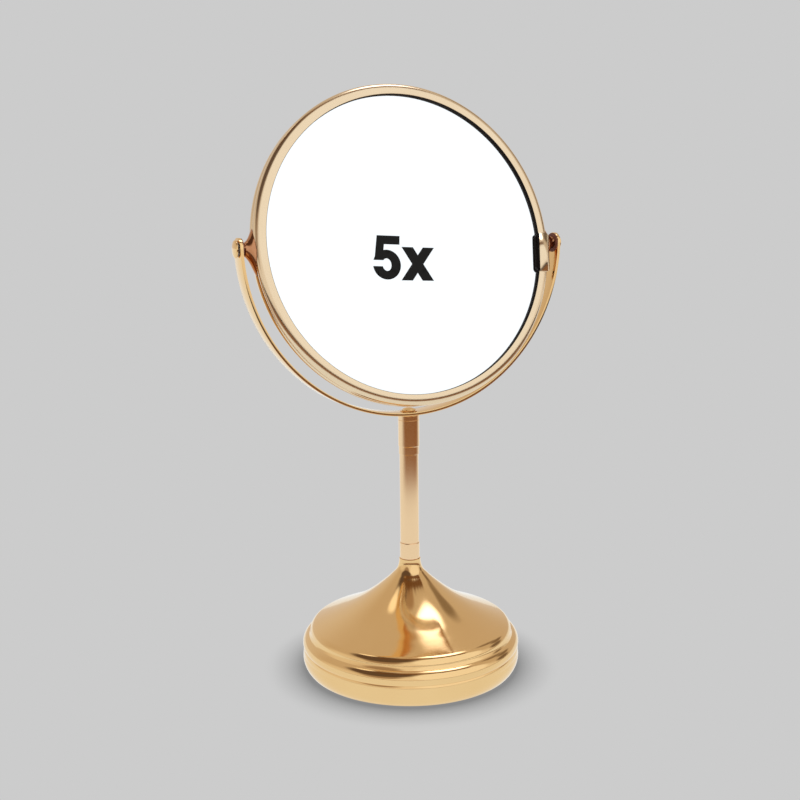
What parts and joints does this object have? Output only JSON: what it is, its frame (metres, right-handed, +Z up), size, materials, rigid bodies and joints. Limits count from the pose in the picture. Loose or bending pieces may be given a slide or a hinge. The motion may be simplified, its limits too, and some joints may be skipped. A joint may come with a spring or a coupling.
{
  "type": "tabletop vanity mirror",
  "caption": "Round tabletop vanity mirror with plain and magnifying glasses back to back, flipping in a U-shaped yoke on a slim stem and weighted round base.",
  "frame": {"origin": "middle of the base's underside, where the stem's axis meets the table", "axes": "+Z up along the stem, X along the pivot axis with +X to the right of someone who looks at the magnifying side, -Y towards that person"},
  "size_m": [0.18, 0.1144, 0.3002],
  "materials": {
    "gold_plated_steel": "polished, plated pale rose gold",
    "silvered_glass": "polished, silvered at the back",
    "cast_iron": "as cast, black primer",
    "zinc_plated_steel": "bright zinc",
    "foam_rubber": "fine closed-cell skin",
    "vulcanised_fibre": "dark red-brown, stamped",
    "black_plastic": "moulded",
    "card": "grey board",
    "black_print": "screen-printed ink film"
  },
  "bodies": {
    "stand": {"base_shell": "gold_plated_steel", "base_weight": "cast_iron", "base_plate": "zinc_plated_steel", "base_pad": "foam_rubber", "tie_rod": "zinc_plated_steel", "tie_rod_washer": "zinc_plated_steel", "tie_rod_nut": "zinc_plated_steel", "stem_collar": "gold_plated_steel", "stem_tube": "gold_plated_steel", "stem_sleeve": "gold_plated_steel", "stem_plug": "gold_plated_steel", "yoke": "gold_plated_steel", "yoke_washer": "gold_plated_steel", "yoke_screw": "gold_plated_steel", "friction_washer_left": "vulcanised_fibre", "friction_washer_right": "vulcanised_fibre", "disc_spring_left": "zinc_plated_steel", "disc_spring_right": "zinc_plated_steel"},
    "head": {"front_bezel": "gold_plated_steel", "rear_bezel": "gold_plated_steel", "rim_hoop": "zinc_plated_steel", "ring_clip": "gold_plated_steel", "magnifying_glass": "silvered_glass", "plain_glass": "silvered_glass", "glass_spacer": "black_plastic", "backing_card": "card", "magnification_mark": "black_print", "pivot_saddle_left": "gold_plated_steel", "pivot_saddle_right": "gold_plated_steel", "pivot_screw_left": "gold_plated_steel", "pivot_screw_right": "gold_plated_steel", "nut_plate_left": "zinc_plated_steel", "nut_plate_right": "zinc_plated_steel"}
  },
  "joints": [
    {"name": "head_flip", "type": "hinge", "parent": "stand", "child": "head", "pos_m": [0, 0, 0.2205], "axis": [1, 0, 0], "continuous": true}
  ]
}
